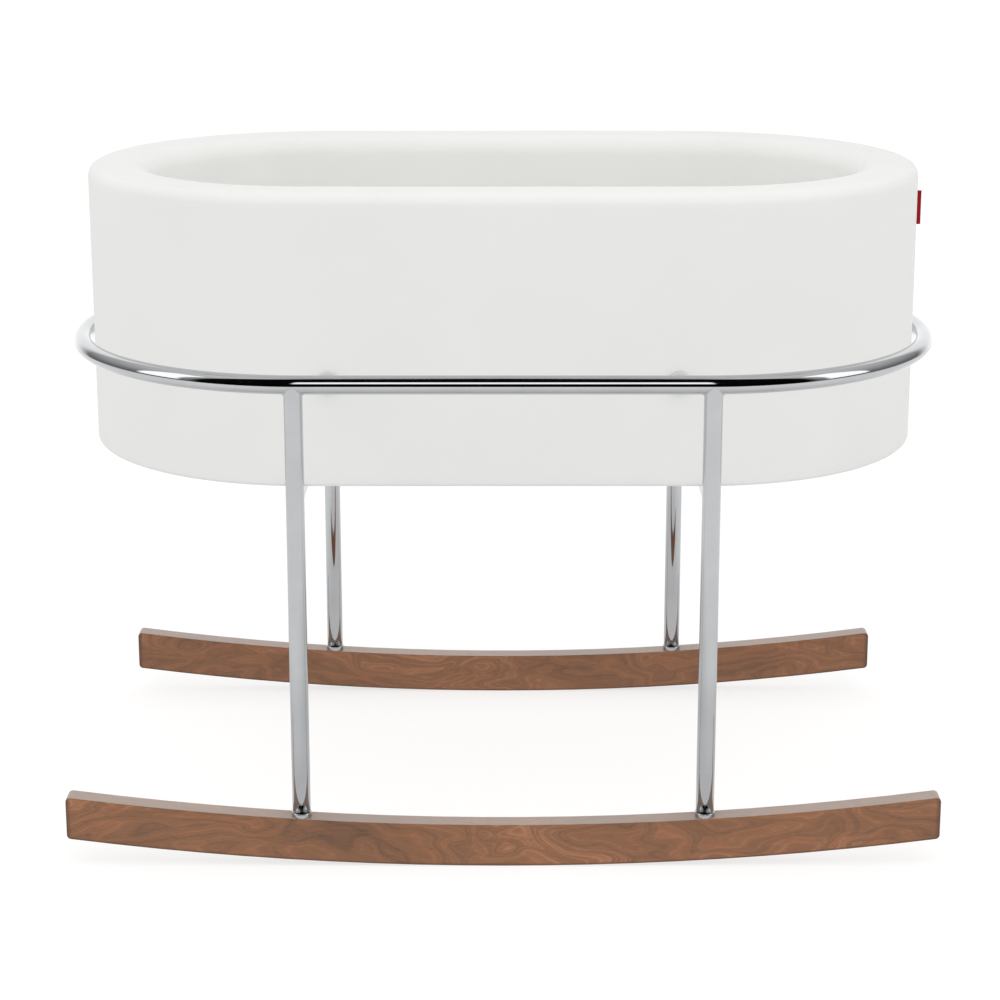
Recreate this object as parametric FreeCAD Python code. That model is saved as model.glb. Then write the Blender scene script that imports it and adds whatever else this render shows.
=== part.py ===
import FreeCAD, Part

import math
import os

from FreeCAD import Vector

# Rocking bassinet: an upholstered oval basket that stands inside a chromed tube frame, on two
# curved wooden rockers. Millimetres. The origin is on the floor, under the middle of the frame.
# +X runs along the bassinet, +Y from its front to its rear, +Z up.

# ---- Frame ------------------------------------------------------------------------------------
RING_HALF_LENGTH = 431.5  # centre line of the ring tube, along X
RING_HALF_DEPTH = 241.0  # centre line of the ring tube, along Y, which is also its end radius
RING_HEIGHT = 483.0  # centre line of the ring tube above the floor
LEG_TUBE = 17.8  # outer diameter
RING_OVER_LEG = 0.2  # how much thicker the ring's tube is than the legs that are coped under it
BAR_UNDER_LEG = 1.8  # how much thinner the bars are than the legs that they are coped to
LEG_HALF_SPACING = 197.5  # leg centre to the middle plane, along X
TUBE_WALL = 1.5
WELD_RADIUS = 3.0  # polished weld fillets

# ---- Feet and fasteners -----------------------------------------------------------------------
COLLAR_WALL = 0.9
COLLAR_HEIGHT = 4.5
COLLAR_ROUNDING = 0.4
INSERT_LENGTH = 25.0
BOLT_DIAMETER = 6.0
BOLT_LENGTH = 50.0
BOLT_HEAD_DIAMETER = 10.0
BOLT_HEAD_HEIGHT = 6.0
BOLT_SOCKET_ACROSS_FLATS = 5.0
BOLT_SOCKET_DEPTH = 3.0
BOLT_HOLE_CLEARANCE = 0.3  # radial, in the wood
WASHER_DIAMETER = 12.0
WASHER_THICKNESS = 1.6
COUNTERBORE_DEPTH = 14.0
COUNTERBORE_CLEARANCE = 0.4  # radial, round the washer

# ---- Rockers ----------------------------------------------------------------------------------
ROCKER_HALF_LENGTH = 427.0
ROCKER_RADIUS = 3200.0  # underside
ROCKER_HEIGHT = 43.0
ROCKER_LEDGE = 0.45  # wood that shows in front of a collar and behind it
ROCKER_CORNER_RADIUS = 4.5
ROCKER_EDGE_ROUNDING = 0.9

# ---- Pads between the frame and the basket ----------------------------------------------------
RING_GAP = 3.0  # ring tube to basket, all round
PAD_TO_LEG = 32.0  # pad centre to the nearest leg's centre, along X
PAD_DIAMETER = 20.0
PAD_CLEARANCE = 0.3  # pad face to the basket cover
PAD_SADDLE_DEPTH = 2.5  # how far the pad reaches back round the tube, past its inner face
PAD_STEM_DIAMETER = 6.0
PAD_STEM_REACH = 4.0  # past the tube's inner face
SADDLE_LENGTH = 50.0
SADDLE_CROWN = 2.0  # thickness over the top of the bar
SADDLE_SKIRT = 4.0  # how far it hangs down the bar's sides
SADDLE_END_GAP = 28.0  # saddle end to the outer face of the basket

# ---- Basket -----------------------------------------------------------------------------------
BASKET_BOTTOM = 380.0
BASKET_HEIGHT = 282.0
WALL = 61.0  # from the outer face of the cover to its inner face
RIM_OUTER_RADIUS = 12.0
RIM_INNER_RADIUS = 20.0
BASE_EDGE_RADIUS = 4.0
COVER_THICKNESS = 2.0
HEM_WIDTH = 42.0  # the part of the cover that is turned under the base
HEM_BAND_INSET = 12.0
HEM_BAND_WIDTH = 5.0
HEM_BAND_THICKNESS = 0.8
BOARD_THICKNESS = 9.0
HOOP_THICKNESS = 9.0
HOOP_HEIGHT = 200.0
HOOP_INSET = 24.0  # outer face of the cover to the outer face of the hoop
SCREW_DIAMETER = 4.0
SCREW_LENGTH = 35.0
SCREW_HEAD_DIAMETER = 8.0
SCREW_SPACING = 150.0  # along the straight sides
LINER_THICKNESS = 1.5
LINER_CLEARANCE = 1.0

# ---- Tag sewn into the end seam ---------------------------------------------------------------
TAG_HEIGHT = 35.0
TAG_DROP = 32.5  # rim to the top of the tag
TAG_REACH = 7.4  # outside the cover
TAG_THICKNESS = 1.2

# ---- Mattress ---------------------------------------------------------------------------------
MATTRESS_CLEARANCE = 3.0
MATTRESS_HEIGHT = 38.0
MATTRESS_EDGE_RADIUS = 10.0
SHEET_THICKNESS = 0.8
SHEET_TUCK = 45.0  # how far the fitted sheet reaches under the mattress
TICKING_THICKNESS = 1.0
ZIP_LENGTH = 260.0
ZIP_WIDTH = 8.0

# ---- Worked out from the sizes above ----------------------------------------------------------
def depth_of_ring(x):
    """From the middle plane to the ring's centre line, along Y, this far along X."""
    return math.sqrt(RING_HALF_DEPTH**2 - max(x - RING_STRAIGHT, 0.0) ** 2)


RING_RADIUS = (LEG_TUBE + RING_OVER_LEG) / 2
LEG_RADIUS = LEG_TUBE / 2
BAR_RADIUS = (LEG_TUBE - BAR_UNDER_LEG) / 2
COLLAR_RADIUS = LEG_RADIUS + COLLAR_WALL
ROCKER_THICKNESS = 2 * (COLLAR_RADIUS + ROCKER_LEDGE)
PAD_SPACING = LEG_HALF_SPACING - PAD_TO_LEG
RING_STRAIGHT = RING_HALF_LENGTH - RING_HALF_DEPTH
BASKET_OUTLINE = (RING_HALF_LENGTH - RING_RADIUS - RING_GAP, RING_HALF_DEPTH - RING_RADIUS - RING_GAP)
BASKET_TOP = BASKET_BOTTOM + BASKET_HEIGHT
BOARD_BOTTOM = BASKET_BOTTOM + COVER_THICKNESS
BOARD_TOP = BOARD_BOTTOM + BOARD_THICKNESS
LEG_DEPTH = depth_of_ring(LEG_HALF_SPACING)
BAR_HEIGHT = BASKET_BOTTOM - SADDLE_CROWN - BAR_RADIUS
ROCKER_TOP_RADIUS = ROCKER_RADIUS - ROCKER_HEIGHT
LEG_UNDERSIDE = ROCKER_RADIUS - math.sqrt(ROCKER_RADIUS**2 - LEG_HALF_SPACING**2)
LEG_FOOT = ROCKER_RADIUS - math.sqrt(ROCKER_TOP_RADIUS**2 - LEG_HALF_SPACING**2)
COUNTERBORE_TOP = LEG_UNDERSIDE + COUNTERBORE_DEPTH
BOLT_SEAT = COUNTERBORE_TOP - WASHER_THICKNESS
BIG = 2000.0  # longer than anything here

UP = Vector(0, 0, 1)
ALONG = Vector(1, 0, 0)
REARWARD = Vector(0, 1, 0)
SIDES = {"left": -1, "right": 1}
FRONT_REAR = {"front": -1, "rear": 1}
CORNERS = [(fr + "_" + side, SIDES[side], FRONT_REAR[fr]) for fr in FRONT_REAR for side in SIDES]


# ---- Shared shapes ----------------------------------------------------------------------------
def inset(outline, distance):
    """The same oval, this much further in."""
    return (outline[0] - distance, outline[1] - distance)


def oval_wire(outline, z):
    """Two straight sides joined by half circles, as a closed wire at one height."""
    half_length, half_depth = outline
    straight = half_length - half_depth
    turns = ((-1, -1), (1, -1), (1, 1), (-1, 1))
    corners = [Vector(side * straight, fr * half_depth, z) for side, fr in turns]
    right = Part.Arc(corners[1], Vector(half_length, 0, z), corners[2]).toShape()
    left = Part.Arc(corners[3], Vector(-half_length, 0, z), corners[0]).toShape()
    front = Part.LineSegment(corners[0], corners[1]).toShape()
    rear = Part.LineSegment(corners[2], corners[3]).toShape()
    return Part.Wire([front, right, rear, left])


def oval_block(outline, bottom, top, lower_radius=0.0, upper_radius=0.0):
    """A solid oval with its edges rounded over."""
    block = Part.Face(oval_wire(outline, bottom)).extrude(UP * (top - bottom))
    for height, radius in ((bottom, lower_radius), (top, upper_radius)):
        if radius > 0:
            block = block.makeFillet(radius, edges_at_height(block, height))
    return block


def edges_at_height(shape, z):
    return [e for e in shape.Edges if abs(e.BoundBox.ZMin - z) < 1e-4 and abs(e.BoundBox.ZMax - z) < 1e-4]


def upright(radius, x, y, bottom, top):
    return Part.makeCylinder(radius, top - bottom, Vector(x, y, bottom), UP)


def tube_ring(radius):
    """The ring's tube, filled, at a given radius round its centre line."""
    start = Vector(0, -RING_HALF_DEPTH, RING_HEIGHT)
    section = Part.Wire([Part.makeCircle(radius, start, ALONG)])
    straights = []
    for fr in FRONT_REAR.values():
        corner = Vector(-RING_STRAIGHT, fr * RING_HALF_DEPTH, RING_HEIGHT)
        straights.append(Part.makeCylinder(radius, 2 * RING_STRAIGHT, corner, ALONG))
    bends = []
    for side in SIDES.values():
        bend = Part.Face(section).revolve(Vector(0, 0, 0), UP, side * 180)
        bend.translate(Vector(side * RING_STRAIGHT, 0, 0))
        bends.append(bend)
    return straights[0].multiFuse([straights[1]] + bends).removeSplitter()


def seam_edges(shape, leg_xy, other_distance, other_radius):
    """Edges that lie both on a leg's outside and on the outside of the tube that meets it."""
    found = []
    for edge in shape.Edges:
        first, last = edge.ParameterRange
        points = [edge.valueAt(first + (last - first) * share) for share in (0.1, 0.37, 0.63, 0.9)]
        on_leg = all(abs(math.hypot(p.x - leg_xy[0], p.y - leg_xy[1]) - LEG_RADIUS) < 0.02 for p in points)
        on_other = all(abs(other_distance(p) - other_radius) < 0.02 for p in points)
        if on_leg and on_other:
            found.append(edge)
    return found


def distance_to_ring(point):
    """From a point to the centre line of the ring tube."""
    past_end = max(abs(point.x) - RING_STRAIGHT, 0.0)
    outward = math.hypot(past_end, point.y) - RING_HALF_DEPTH
    return math.hypot(outward, point.z - RING_HEIGHT)


# ---- Rockers ----------------------------------------------------------------------------------
def rocker_blank(fr):
    """A plank sawn to two arcs about one centre, with upright ends and rounded corners and edges."""
    centre = Vector(0, 0, ROCKER_RADIUS)
    near_face = fr * LEG_DEPTH - ROCKER_THICKNESS / 2
    base = centre + Vector(0, near_face, 0)
    outer = Part.makeCylinder(ROCKER_RADIUS, ROCKER_THICKNESS, base, REARWARD)
    inner = Part.makeCylinder(ROCKER_TOP_RADIUS, ROCKER_THICKNESS, base, REARWARD)
    band = Part.makeBox(
        2 * ROCKER_HALF_LENGTH, ROCKER_THICKNESS, BIG / 4, Vector(-ROCKER_HALF_LENGTH, near_face, 0)
    )
    plank = band.common(outer).cut(inner)
    corner_edges = []
    for edge in plank.Edges:
        box = edge.BoundBox
        if box.YLength > ROCKER_THICKNESS - 0.1 and abs(abs(box.XMin) - ROCKER_HALF_LENGTH) < 0.01:
            corner_edges.append(edge)
    plank = plank.makeFillet(ROCKER_CORNER_RADIUS, corner_edges)
    face_edges = [e for e in plank.Edges if e.BoundBox.YLength < 0.01]
    return plank.makeFillet(ROCKER_EDGE_ROUNDING, face_edges)


def rocker(fr):
    plank = rocker_blank(fr)
    for side in SIDES.values():
        x, y = side * LEG_HALF_SPACING, fr * LEG_DEPTH
        hole_radius = BOLT_DIAMETER / 2 + BOLT_HOLE_CLEARANCE
        recess_radius = WASHER_DIAMETER / 2 + COUNTERBORE_CLEARANCE
        plank = plank.cut(upright(hole_radius, x, y, -1, RING_HEIGHT))
        plank = plank.cut(upright(recess_radius, x, y, -1, COUNTERBORE_TOP))
    return plank


# ---- Welded tube frame ------------------------------------------------------------------------
def frame_ring():
    """The hoop round the basket: a closed oval of tube, drilled for the four pad stems."""
    hoop = tube_ring(RING_RADIUS).cut(tube_ring(RING_RADIUS - TUBE_WALL))
    for _, side, fr in CORNERS:
        hoop = hoop.cut(pad_stem(side, fr))
    return hoop


def leg(side, fr, ring_solid, plank):
    """An upright tube, coped under the ring, where it is welded, and standing on its rocker."""
    x, y = side * LEG_HALF_SPACING, fr * LEG_DEPTH
    outside = upright(LEG_RADIUS, x, y, LEG_FOOT - ROCKER_HEIGHT / 2, RING_HEIGHT)
    joined = outside.fuse(ring_solid)
    weld = seam_edges(joined, (x, y), distance_to_ring, RING_RADIUS)
    joined = joined.makeFillet(WELD_RADIUS, weld)
    bore = upright(LEG_RADIUS - TUBE_WALL, x, y, 0, RING_HEIGHT)
    return joined.cut(ring_solid).cut(bore).cut(plank)


def rest_bar(side):
    """The bar under the basket, from a front leg to the rear leg behind it, welded to both."""
    x = side * LEG_HALF_SPACING
    start = Vector(x, -LEG_DEPTH, BAR_HEIGHT)
    bar = Part.makeCylinder(BAR_RADIUS, 2 * LEG_DEPTH, start, REARWARD)
    legs = [upright(LEG_RADIUS, x, fr * LEG_DEPTH, 0, RING_HEIGHT) for fr in FRONT_REAR.values()]
    joined = bar.multiFuse(legs)
    welds = []
    for fr in FRONT_REAR.values():
        welds += seam_edges(
            joined,
            (x, fr * LEG_DEPTH),
            lambda p: math.hypot(p.x - x, p.z - BAR_HEIGHT),
            BAR_RADIUS,
        )
    joined = joined.makeFillet(WELD_RADIUS, welds)
    for solid in legs:
        joined = joined.cut(solid)
    bore = Part.makeCylinder(BAR_RADIUS - TUBE_WALL, 2 * LEG_DEPTH, start, REARWARD)
    return joined.cut(bore)


def foot_collar(side, fr, plank):
    """The thin ferrule round the bottom of a leg, down on the wood."""
    x, y = side * LEG_HALF_SPACING, fr * LEG_DEPTH
    top = LEG_FOOT + COLLAR_HEIGHT
    outside = upright(COLLAR_RADIUS, x, y, LEG_FOOT - ROCKER_HEIGHT / 2, top)
    outside = outside.makeFillet(COLLAR_ROUNDING, edges_at_height(outside, top))
    return outside.cut(upright(LEG_RADIUS, x, y, 0, RING_HEIGHT)).cut(plank)


# ---- Fasteners that hold the rockers to the legs ----------------------------------------------
def leg_insert(side, fr, plank):
    """A threaded plug, fixed in the bottom of a leg tube."""
    x, y = side * LEG_HALF_SPACING, fr * LEG_DEPTH
    plug = upright(LEG_RADIUS - TUBE_WALL, x, y, LEG_FOOT - ROCKER_HEIGHT / 2, LEG_FOOT + INSERT_LENGTH)
    return plug.cut(upright(BOLT_DIAMETER / 2, x, y, 0, RING_HEIGHT)).cut(plank)


def rocker_bolt(side, fr):
    """A socket cap screw, from the recess under a rocker up into the plug in the leg."""
    x, y = side * LEG_HALF_SPACING, fr * LEG_DEPTH
    shank = upright(BOLT_DIAMETER / 2, x, y, BOLT_SEAT, BOLT_SEAT + BOLT_LENGTH)
    head = upright(BOLT_HEAD_DIAMETER / 2, x, y, BOLT_SEAT - BOLT_HEAD_HEIGHT, BOLT_SEAT)
    corner_radius = BOLT_SOCKET_ACROSS_FLATS / math.sqrt(3)
    bottom = BOLT_SEAT - BOLT_HEAD_HEIGHT
    hexagon = []
    for k in range(7):
        turn = math.radians(60 * k)
        spoke = Vector(math.cos(turn), math.sin(turn), 0) * corner_radius
        hexagon.append(Vector(x, y, bottom) + spoke)
    socket = Part.Face(Part.makePolygon(hexagon)).extrude(UP * BOLT_SOCKET_DEPTH)
    return shank.fuse(head).cut(socket)


def rocker_washer(side, fr):
    x, y = side * LEG_HALF_SPACING, fr * LEG_DEPTH
    disc = upright(WASHER_DIAMETER / 2, x, y, BOLT_SEAT, COUNTERBORE_TOP)
    return disc.cut(upright(BOLT_DIAMETER / 2, x, y, 0, RING_HEIGHT))


# ---- Pads -------------------------------------------------------------------------------------
def pad_rod(side, fr, diameter, reach):
    """A round bar square to the ring, from the pad's face to this far past the tube's inner face."""
    y = fr * depth_of_ring(PAD_SPACING)
    past_end = max(PAD_SPACING - RING_STRAIGHT, 0.0)
    outward = Vector(side * past_end, y, 0).normalize()
    face_to_tube = RING_GAP - PAD_CLEARANCE
    base = Vector(side * PAD_SPACING, y, RING_HEIGHT) - outward * (RING_RADIUS + face_to_tube)
    return Part.makeCylinder(diameter / 2, face_to_tube + reach, base, outward)


def pad_stem(side, fr):
    """The pad's push-in stem, which is also the hole for it in the ring."""
    return pad_rod(side, fr, PAD_STEM_DIAMETER, PAD_STEM_REACH)


def ring_pad(side, fr, ring_solid):
    """A round bumper on the inside of the ring, that keeps the basket off the tube."""
    disc = pad_rod(side, fr, PAD_DIAMETER, PAD_SADDLE_DEPTH)
    return disc.cut(ring_solid).fuse(pad_stem(side, fr))


def bar_saddle(side, fr):
    """A rubber saddle on a bar, with a flat top for the base of the basket."""
    outer_end = BASKET_OUTLINE[1] - SADDLE_END_GAP
    x = side * LEG_HALF_SPACING
    low_y = min(fr * outer_end, fr * (outer_end - SADDLE_LENGTH))
    corner = Vector(x - BAR_RADIUS, low_y, BAR_HEIGHT + BAR_RADIUS - SADDLE_SKIRT)
    block = Part.makeBox(2 * BAR_RADIUS, SADDLE_LENGTH, SADDLE_SKIRT + SADDLE_CROWN, corner)
    start = Vector(x, -LEG_DEPTH, BAR_HEIGHT)
    return block.cut(Part.makeCylinder(BAR_RADIUS, 2 * LEG_DEPTH, start, REARWARD))


# ---- Basket -----------------------------------------------------------------------------------
def tub(distance):
    """The basket's solid form this far inside the face of the cover, open at the top."""
    bottom = BASKET_BOTTOM + distance
    top = BASKET_TOP - distance
    body = oval_block(
        inset(BASKET_OUTLINE, distance),
        bottom,
        top,
        BASE_EDGE_RADIUS - distance,
        RIM_OUTER_RADIUS - distance,
    )
    inner_outline = inset(BASKET_OUTLINE, WALL - distance)
    body = body.cut(oval_block(inner_outline, BOARD_TOP, top + 1))
    rim_edges = [e for e in edges_at_height(body, top) if e.BoundBox.YMax < inner_outline[1] + 0.1]
    return body.makeFillet(RIM_INNER_RADIUS - distance, rim_edges)


def hoop_form(top):
    """The stiff wall inside the padding, from the base board up."""
    outer = oval_block(inset(BASKET_OUTLINE, HOOP_INSET), BOARD_TOP, top)
    return outer.cut(oval_block(inset(BASKET_OUTLINE, HOOP_INSET + HOOP_THICKNESS), BOARD_TOP, top))


def screw_places():
    """Round the base, under the middle of the hoop's thickness."""
    half_length, half_depth = inset(BASKET_OUTLINE, HOOP_INSET + HOOP_THICKNESS / 2)
    along_sides = (-SCREW_SPACING, 0, SCREW_SPACING)
    places = [(x, fr * half_depth) for fr in FRONT_REAR.values() for x in along_sides]
    return places + [(side * half_length, 0) for side in SIDES.values()]


def base_screw(x, y):
    """A countersunk wood screw, flush under the board and up into the hoop."""
    head_height = (SCREW_HEAD_DIAMETER - SCREW_DIAMETER) / 2
    shank = upright(SCREW_DIAMETER / 2, x, y, BOARD_BOTTOM, BOARD_BOTTOM + SCREW_LENGTH)
    base = Vector(x, y, BOARD_BOTTOM)
    head = Part.makeCone(SCREW_HEAD_DIAMETER / 2, SCREW_DIAMETER / 2, head_height, base, UP)
    return shank.fuse(head)


def side_tag():
    """A folded fabric label, sewn into the cover's seam at the right-hand end."""
    top = BASKET_TOP - TAG_DROP
    inner = BASKET_OUTLINE[0] - COVER_THICKNESS
    length = COVER_THICKNESS + TAG_REACH - TAG_THICKNESS / 2
    corner = Vector(inner, -TAG_THICKNESS / 2, top - TAG_HEIGHT)
    leaves = Part.makeBox(length, TAG_THICKNESS, TAG_HEIGHT, corner)
    fold = upright(TAG_THICKNESS / 2, inner + length, 0, top - TAG_HEIGHT, top)
    return leaves.fuse(fold)


def hem_band():
    """Flat elastic that draws the hem in, against the underside of the board."""
    outer = inset(BASKET_OUTLINE, HEM_WIDTH - HEM_BAND_INSET)
    top = BOARD_BOTTOM
    bottom = top - HEM_BAND_THICKNESS
    return oval_block(outer, bottom, top).cut(oval_block(inset(outer, HEM_BAND_WIDTH), bottom, top))


def basket_parts():
    core = tub(COVER_THICKNESS)
    board_region = oval_block(BASKET_OUTLINE, 0, BOARD_TOP)
    hoop = hoop_form(BOARD_TOP + HOOP_HEIGHT)
    screws = Part.makeCompound([base_screw(x, y) for x, y in screw_places()])
    hem_opening = oval_block(inset(BASKET_OUTLINE, HEM_WIDTH), 0, BOARD_BOTTOM)
    cover = tub(0).cut(core).cut(hem_opening).cut(hem_band()).cut(side_tag())
    floor_outline = inset(BASKET_OUTLINE, WALL + LINER_CLEARANCE)
    return {
        "base_board": core.common(board_region).cut(screws),
        "wall_hoop": hoop.cut(screws),
        "base_screws": screws,
        "wall_padding": core.cut(board_region).cut(hoop),
        "fabric_cover": cover,
        "hem_elastic": hem_band(),
        "floor_liner": oval_block(floor_outline, BOARD_TOP, BOARD_TOP + LINER_THICKNESS),
        "side_tag": side_tag(),
    }


# ---- Mattress ---------------------------------------------------------------------------------
def mattress_form(distance):
    outline = inset(BASKET_OUTLINE, WALL + MATTRESS_CLEARANCE + distance)
    bottom = BOARD_TOP + LINER_THICKNESS + distance
    top = BOARD_TOP + LINER_THICKNESS + MATTRESS_HEIGHT - distance
    radius = MATTRESS_EDGE_RADIUS - distance
    return oval_block(outline, bottom, top, radius, radius)


def mattress_parts():
    """A foam core in a zipped ticking, in a fitted sheet that is open underneath."""
    ticking_form = mattress_form(SHEET_THICKNESS)
    core = mattress_form(SHEET_THICKNESS + TICKING_THICKNESS)
    under_outline = inset(BASKET_OUTLINE, WALL + MATTRESS_CLEARANCE + SHEET_TUCK)
    sheet_opening = oval_block(under_outline, 0, BOARD_TOP + MATTRESS_HEIGHT / 2)
    sheet = mattress_form(0).cut(ticking_form).cut(sheet_opening)
    middle = BOARD_TOP + LINER_THICKNESS + MATTRESS_HEIGHT / 2
    zip_slot = Part.makeBox(ZIP_LENGTH, BIG, ZIP_WIDTH, Vector(-ZIP_LENGTH / 2, 0, middle - ZIP_WIDTH / 2))
    ticking = ticking_form.cut(core)
    return {
        "mattress_core": core,
        "mattress_ticking": ticking.cut(zip_slot),
        "mattress_zip": ticking.common(zip_slot),
        "fitted_sheet": sheet,
    }


# ---- The whole bassinet -----------------------------------------------------------------------
def build():
    ring_solid = tube_ring(RING_RADIUS)
    planks = {fr: rocker_blank(fr) for fr in FRONT_REAR.values()}
    nodes = {"frame_ring": frame_ring()}
    for name, side, fr in CORNERS:
        nodes["leg_" + name] = leg(side, fr, ring_solid, planks[fr])
        nodes["foot_collar_" + name] = foot_collar(side, fr, planks[fr])
        nodes["ring_pad_" + name] = ring_pad(side, fr, ring_solid)
        nodes["bar_saddle_" + name] = bar_saddle(side, fr)
    for name, side in SIDES.items():
        nodes["rest_bar_" + name] = rest_bar(side)
    for name, fr in FRONT_REAR.items():
        nodes["rocker_" + name] = rocker(fr)
    places = [(side, fr) for _, side, fr in CORNERS]
    nodes["leg_inserts"] = Part.makeCompound([leg_insert(side, fr, planks[fr]) for side, fr in places])
    nodes["rocker_bolts"] = Part.makeCompound([rocker_bolt(side, fr) for side, fr in places])
    nodes["rocker_washers"] = Part.makeCompound([rocker_washer(side, fr) for side, fr in places])
    nodes.update(basket_parts())
    nodes.update(mattress_parts())
    return nodes


def main():
    os.makedirs("parts", exist_ok=True)
    for name, shape in build().items():
        if not shape.isValid() or not shape.Solids:
            raise ValueError(name + " has no valid solid")
        shape.exportStep("parts/" + name + ".step")
        print(name, len(shape.Solids), round(shape.Volume / 1000, 2), "cm3")


main()
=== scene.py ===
"""Looks for the rocking bassinet: chromed tube frame, walnut rockers, padded oval basket, mattress.

Metres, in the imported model's frame. +X runs along the bassinet, -Y is its front, +Z is up.
"""

import math

import bmesh
import bpy
import numpy as np
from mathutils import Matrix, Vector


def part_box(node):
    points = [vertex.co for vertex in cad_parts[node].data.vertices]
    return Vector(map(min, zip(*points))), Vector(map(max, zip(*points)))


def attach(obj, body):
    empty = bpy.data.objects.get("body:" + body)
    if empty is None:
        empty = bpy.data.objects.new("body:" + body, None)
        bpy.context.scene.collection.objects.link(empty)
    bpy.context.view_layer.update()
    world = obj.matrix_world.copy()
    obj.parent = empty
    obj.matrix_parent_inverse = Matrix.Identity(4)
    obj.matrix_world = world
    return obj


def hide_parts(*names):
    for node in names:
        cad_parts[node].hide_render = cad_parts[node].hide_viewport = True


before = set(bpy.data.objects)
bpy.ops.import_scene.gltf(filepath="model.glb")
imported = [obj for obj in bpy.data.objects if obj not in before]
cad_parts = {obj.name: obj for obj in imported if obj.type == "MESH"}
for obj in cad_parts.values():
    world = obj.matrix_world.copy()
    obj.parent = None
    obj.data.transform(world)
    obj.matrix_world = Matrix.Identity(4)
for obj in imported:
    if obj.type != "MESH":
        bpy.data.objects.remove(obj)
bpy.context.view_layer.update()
MM = 0.001


def snap(value):
    """A packed measure, to the nearest tenth of a millimetre."""
    return round(float(value), 4)


# ---- Sizes that come from the frame -----------------------------------------------------------
ring_low, ring_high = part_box("frame_ring")
RING_RADIUS = snap((ring_high.z - ring_low.z) / 2)
RING_HEIGHT = snap((ring_high.z + ring_low.z) / 2)
RING_DEPTH = snap(ring_high.y) - RING_RADIUS
STRAIGHT = snap(ring_high.x - ring_high.y)

collar_low, collar_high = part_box("foot_collar_front_right")
COLLAR_WALL = 0.9 * MM
COLLAR_TOP = snap(collar_high.z)
LEG_RADIUS = snap((collar_high.x - collar_low.x) / 2) - COLLAR_WALL
LEG_X = snap((collar_high.x + collar_low.x) / 2)
LEG_Y = snap(-(collar_high.y + collar_low.y) / 2)

saddle_low, saddle_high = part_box("bar_saddle_rear_right")
BAR_RADIUS = snap((saddle_high.x - saddle_low.x) / 2)
SADDLE_CROWN = 2.0 * MM
BAR_HEIGHT = snap(saddle_high.z) - SADDLE_CROWN - BAR_RADIUS

ROCKER_RADIUS = 3200 * MM
ROCKER_HALF_LENGTH = snap(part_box("rocker_front")[1].x)
ROCKER_HEIGHT = 43 * MM
ROCKER_TOP_RADIUS = ROCKER_RADIUS - ROCKER_HEIGHT

cover_low, cover_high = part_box("fabric_cover")
BASKET_DEPTH = snap(cover_high.y)
BASKET_BOTTOM = snap(cover_low.z)
BASKET_TOP = snap(cover_high.z)
WALL = 61 * MM
RIM_OUTER_RADIUS = 12 * MM
RIM_INNER_RADIUS = 20 * MM
BASE_EDGE_RADIUS = 4 * MM
COVER_THICKNESS = 2 * MM
HEM_WIDTH = 42 * MM
elastic_low, elastic_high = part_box("hem_elastic")
BAND_TOP = snap(elastic_high.z)
BAND_THICKNESS = snap(elastic_high.z - elastic_low.z)
BAND_START = BASKET_DEPTH - snap(elastic_high.y)
BAND_WIDTH = 5 * MM
BAND_ROOM = 0.05 * MM
BOARD_TOP = snap(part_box("base_board")[1].z)
hoop_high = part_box("wall_hoop")[1]
HOOP_OUTER = BASKET_DEPTH - snap(hoop_high.y)
HOOP_THICKNESS = 9 * MM
HOOP_TOP = snap(hoop_high.z)

sheet_low, sheet_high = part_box("fitted_sheet")
MATTRESS_DEPTH = snap(sheet_high.y)
MATTRESS_BOTTOM = snap(sheet_low.z)
MATTRESS_TOP = snap(sheet_high.z)

# The fitted sheet's cloth simulation
VOXEL = 6 * MM  # spacing of the mesh that is blown up
SHRINK = 1.6 * MM  # how much shallower the sheet starts than it ends
PUFF_LEAST = 0.4 * MM  # outwards, which keeps the sheet clear of the ticking
PUFF_SIDE = 1.5 * MM  # most that a point moves outwards
PUFF_TOP = 4.0 * MM  # most that the top rises; the underside stays where it is
PUFF_FRAMES = 20
SHEET_CLOTH = {
    "quality": 6,
    "mass": 0.25,
    "tension_stiffness": 12,
    "compression_stiffness": 12,
    "shear_stiffness": 6,
    "bending_stiffness": 0.4,
    "use_pressure": True,
    "uniform_pressure_force": 4.0,
}

SIDES = {"left": -1, "right": 1}
FRONT_REAR = {"front": -1, "rear": 1}
CORNERS = [(fr + "_" + side, SIDES[side], FRONT_REAR[fr]) for fr in FRONT_REAR for side in SIDES]


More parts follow.
